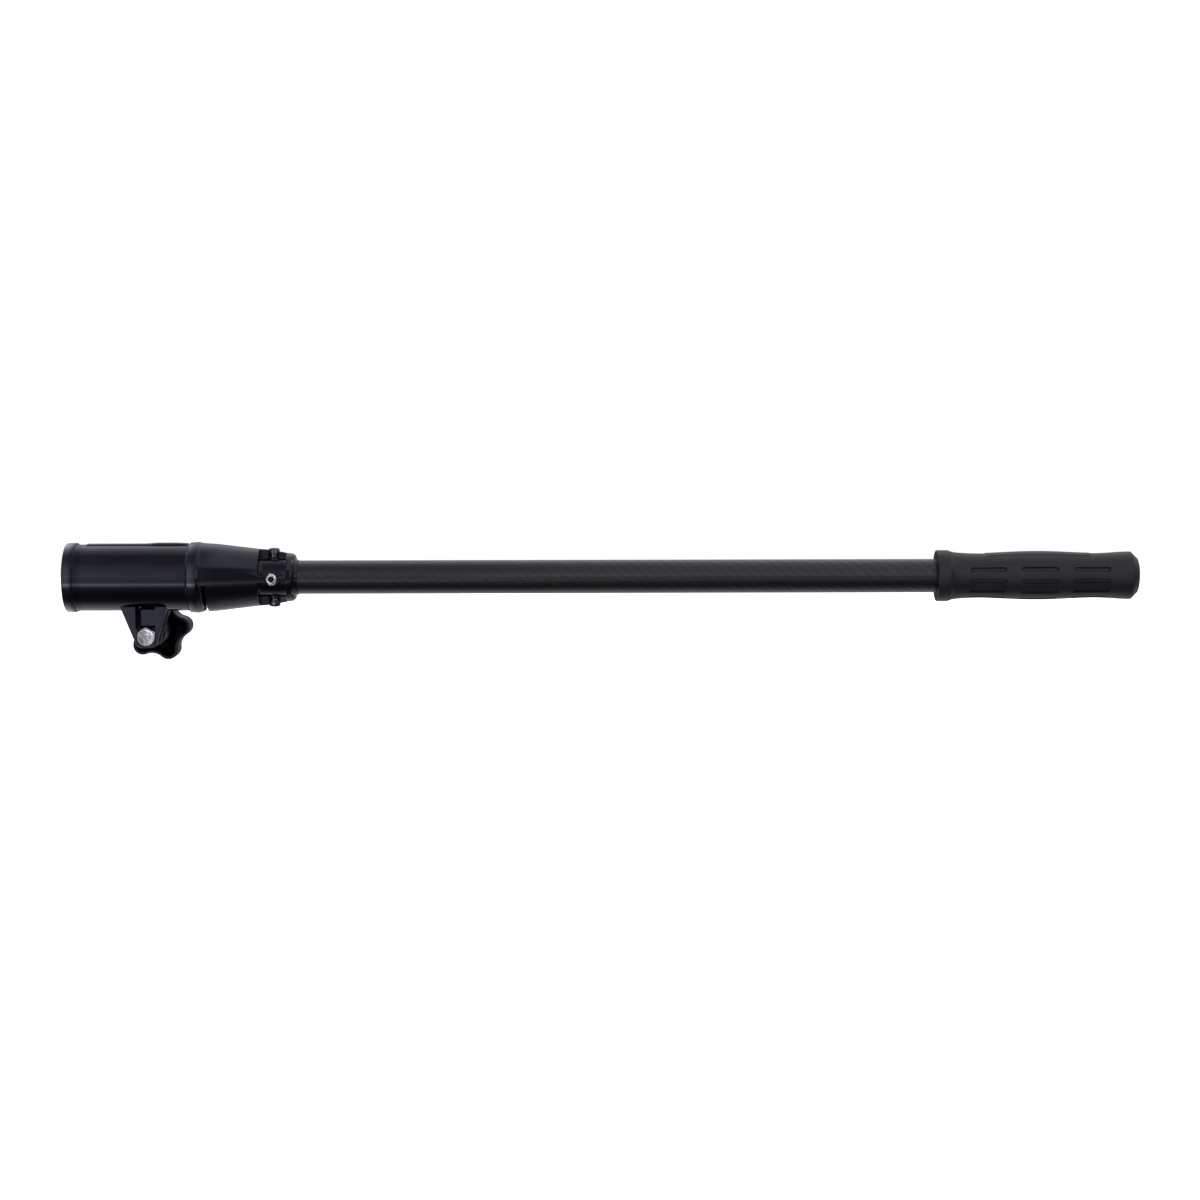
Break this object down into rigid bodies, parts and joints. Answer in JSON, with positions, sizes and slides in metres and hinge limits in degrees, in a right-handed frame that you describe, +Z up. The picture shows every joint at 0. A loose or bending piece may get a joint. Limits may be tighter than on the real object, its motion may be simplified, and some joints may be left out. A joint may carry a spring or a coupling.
{
  "type": "tiller extension handle",
  "caption": "Outboard tiller extension: split clamp socket with star knob, carbon fibre tube and rubber hand grip.",
  "frame": {"origin": "centre of the clamp socket's mouth, on the axis of the socket bore", "axes": "+X along the handle from the mouth to the grip, +Z up with the clamp ears and knob hanging towards -Z, +Y from the bolt's head to the knob"},
  "size_m": [0.8, 0.0855, 0.0926],
  "materials": {
    "black_nylon": "moulded glass-filled nylon, soft gloss",
    "liner_rubber": "matt",
    "stainless_steel": "plain turned",
    "knob_plastic": "satin",
    "brass": "plain",
    "carbon_fibre": "satin twill weave",
    "aluminium": "plain turned",
    "grip_rubber": "satin",
    "plug_plastic": "matt"
  },
  "bodies": {
    "handle": {"clamp_socket": "black_nylon", "socket_liner": "liner_rubber", "clamp_bolt": "stainless_steel", "carbon_tube": "carbon_fibre", "tube_insert": "aluminium", "neck_screw_1": "stainless_steel", "neck_screw_2": "stainless_steel", "neck_screw_3": "stainless_steel", "neck_screw_4": "stainless_steel", "grip": "grip_rubber", "tube_end_plug": "plug_plastic"},
    "washer": {"knob_washer": "stainless_steel"},
    "knob": {"clamp_knob": "knob_plastic", "knob_nut": "brass"}
  },
  "joints": [
    {"name": "knob_travel", "type": "slide", "parent": "handle", "child": "washer", "axis": [0, 1, 0], "range_m": [0, 0.005]},
    {"name": "knob_turn", "type": "hinge", "parent": "washer", "child": "knob", "pos_m": [0.0601, 0, -0.0435], "axis": [0, 1, 0], "range_deg": [0, 1440]}
  ],
  "couplings": [
    {"joint": "knob_travel", "follows": "knob_turn", "m_per_rad": 0.00019894}
  ]
}
